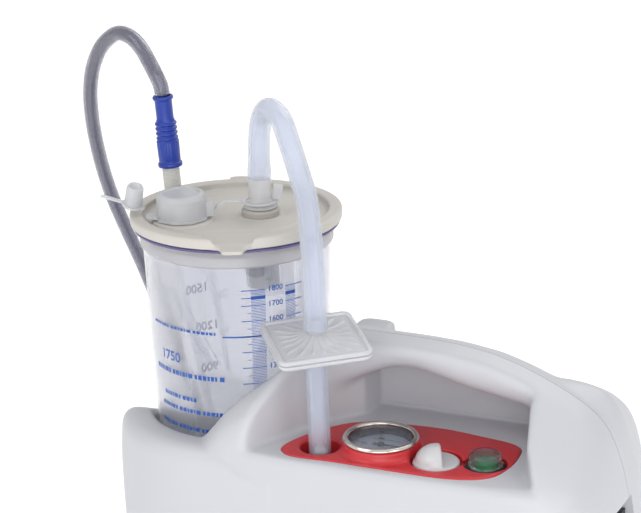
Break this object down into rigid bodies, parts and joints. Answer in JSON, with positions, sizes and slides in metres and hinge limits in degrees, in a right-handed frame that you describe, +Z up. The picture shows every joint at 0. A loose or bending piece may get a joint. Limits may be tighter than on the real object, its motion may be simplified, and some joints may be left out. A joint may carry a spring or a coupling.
{
  "type": "portable suction pump",
  "caption": "Portable medical suction pump: handled clamshell case, sunk red panel with gauge, knob and button, collection bottle in a well, filter and patient hose.",
  "frame": {"origin": "on the surface the rubber feet stand on, under the middle of the object without its patient hose", "axes": "+X along the case towards the control end, +Z up, -Y the front with the hand recess"},
  "size_m": [0.4008, 0.3302, 0.3633],
  "materials": {
    "case_front": "fine satin moulded ABS, cool light grey",
    "case_back": "fine satin moulded ABS, cool light grey",
    "base": "textured mid grey moulding",
    "foot_rubber": "matt black rubber",
    "screw_steel": "zinc plated",
    "panel_red": "satin red moulding",
    "gauge_steel": "pressed steel",
    "chrome": "polished chrome",
    "dial_face": "printed dial",
    "needle_black": "painted black",
    "brass": "turned brass",
    "clear_glass": "flat clear window",
    "white_plastic": "satin white",
    "black_plastic": "matt black",
    "spring_steel": "bright wire",
    "green_lens": "translucent green",
    "clear_cap": "clear soft plastic, slightly purple",
    "clear_plastic": "clear moulded polycarbonate",
    "membrane_white": "white filter fleece",
    "silicone": "milky translucent silicone",
    "bottle_clear": "clear moulded plastic",
    "lid_ivory": "ivory grey polypropylene",
    "cap_white": "translucent white polypropylene",
    "gasket": "soft cream rubber",
    "connector_blue": "blue flexible PVC",
    "hose_pvc": "grey violet translucent PVC",
    "motor_steel": "zinc plated can",
    "cast_aluminium": "cast",
    "diaphragm_rubber": "black rubber",
    "board_green": "solder resist",
    "core_steel": "laminated core and tape",
    "hose_grey": "grey silicone hose"
  },
  "bodies": {
    "root": {"front_shell": "case_front", "back_shell": "case_back", "base_plate": "base", "rubber_foot_1": "foot_rubber", "rubber_foot_2": "foot_rubber", "rubber_foot_3": "foot_rubber", "rubber_foot_4": "foot_rubber", "base_screw_1": "screw_steel", "base_screw_2": "screw_steel", "base_screw_3": "screw_steel", "base_screw_4": "screw_steel", "control_panel": "panel_red", "gauge_case": "gauge_steel", "gauge_dial": "dial_face", "gauge_movement": "brass", "gauge_bezel": "chrome", "gauge_glass": "clear_glass", "regulator_valve": "brass", "switch_housing": "black_plastic", "switch_spring": "spring_steel", "switch_cap": "clear_cap", "inlet_spigot": "white_plastic", "hose_coil": "hose_pvc", "hose_end_funnel": "connector_blue", "motor": "motor_steel", "crankcase": "cast_aluminium", "connecting_rod": "cast_aluminium", "diaphragm": "diaphragm_rubber", "pump_head": "black_plastic", "power_supply": "core_steel", "control_board": "board_green", "mains_inlet": "black_plastic", "silencer": "black_plastic", "silencer_hose": "hose_grey", "vacuum_hose": "hose_grey", "inlet_hose": "hose_grey"},
    "bottle_set": {"bottle": "bottle_clear", "lid": "lid_ivory", "lid_gasket": "gasket", "vacuum_port": "cap_white", "float_cage": "cap_white", "cap_strap": "cap_white", "spare_plug": "cap_white", "patient_spigot": "cap_white", "hose_connector": "connector_blue", "patient_hose": "hose_pvc", "suction_tube": "silicone", "filter_top": "clear_plastic", "filter_bottom": "clear_plastic", "filter_membrane": "membrane_white", "lower_tube": "silicone"},
    "pour_cap": {"pour_cap": "cap_white"},
    "float": {"float_valve": "cap_white"},
    "knob": {"regulator_knob": "white_plastic", "regulator_stem": "brass"},
    "needle": {"gauge_needle": "needle_black"},
    "button": {"switch_button": "green_lens"},
    "rotor": {"motor_shaft": "screw_steel", "eccentric": "screw_steel", "cooling_fan": "black_plastic"}
  },
  "joints": [
    {"name": "bottle_lift", "type": "slide", "parent": "root", "child": "bottle_set", "axis": [0, 0, 1], "range_m": [0, 0.11]},
    {"name": "cap_pull", "type": "slide", "parent": "bottle_set", "child": "pour_cap", "axis": [0, 0, 1], "range_m": [0, 0.018]},
    {"name": "float_rise", "type": "slide", "parent": "bottle_set", "child": "float", "axis": [0, 0, 1], "range_m": [0, 0.014]},
    {"name": "knob_turn", "type": "hinge", "parent": "root", "child": "knob", "pos_m": [0.05856, -0.04062, 0.13], "axis": [0, 0, 1], "range_deg": [-90, 180]},
    {"name": "needle_swing", "type": "hinge", "parent": "root", "child": "needle", "pos_m": [0.02156, -0.03662, 0.131], "axis": [0, 0, 1], "range_deg": [-250, 0]},
    {"name": "button_press", "type": "slide", "parent": "root", "child": "button", "axis": [0, 0, -1], "range_m": [0, 0.002], "stiffness_N_per_m": 300, "deforming": ["switch_spring"]},
    {"name": "motor_spin", "type": "hinge", "parent": "root", "child": "rotor", "pos_m": [0.10356, 0.03288, 0.044], "axis": [1, 0, 0], "continuous": true}
  ]
}
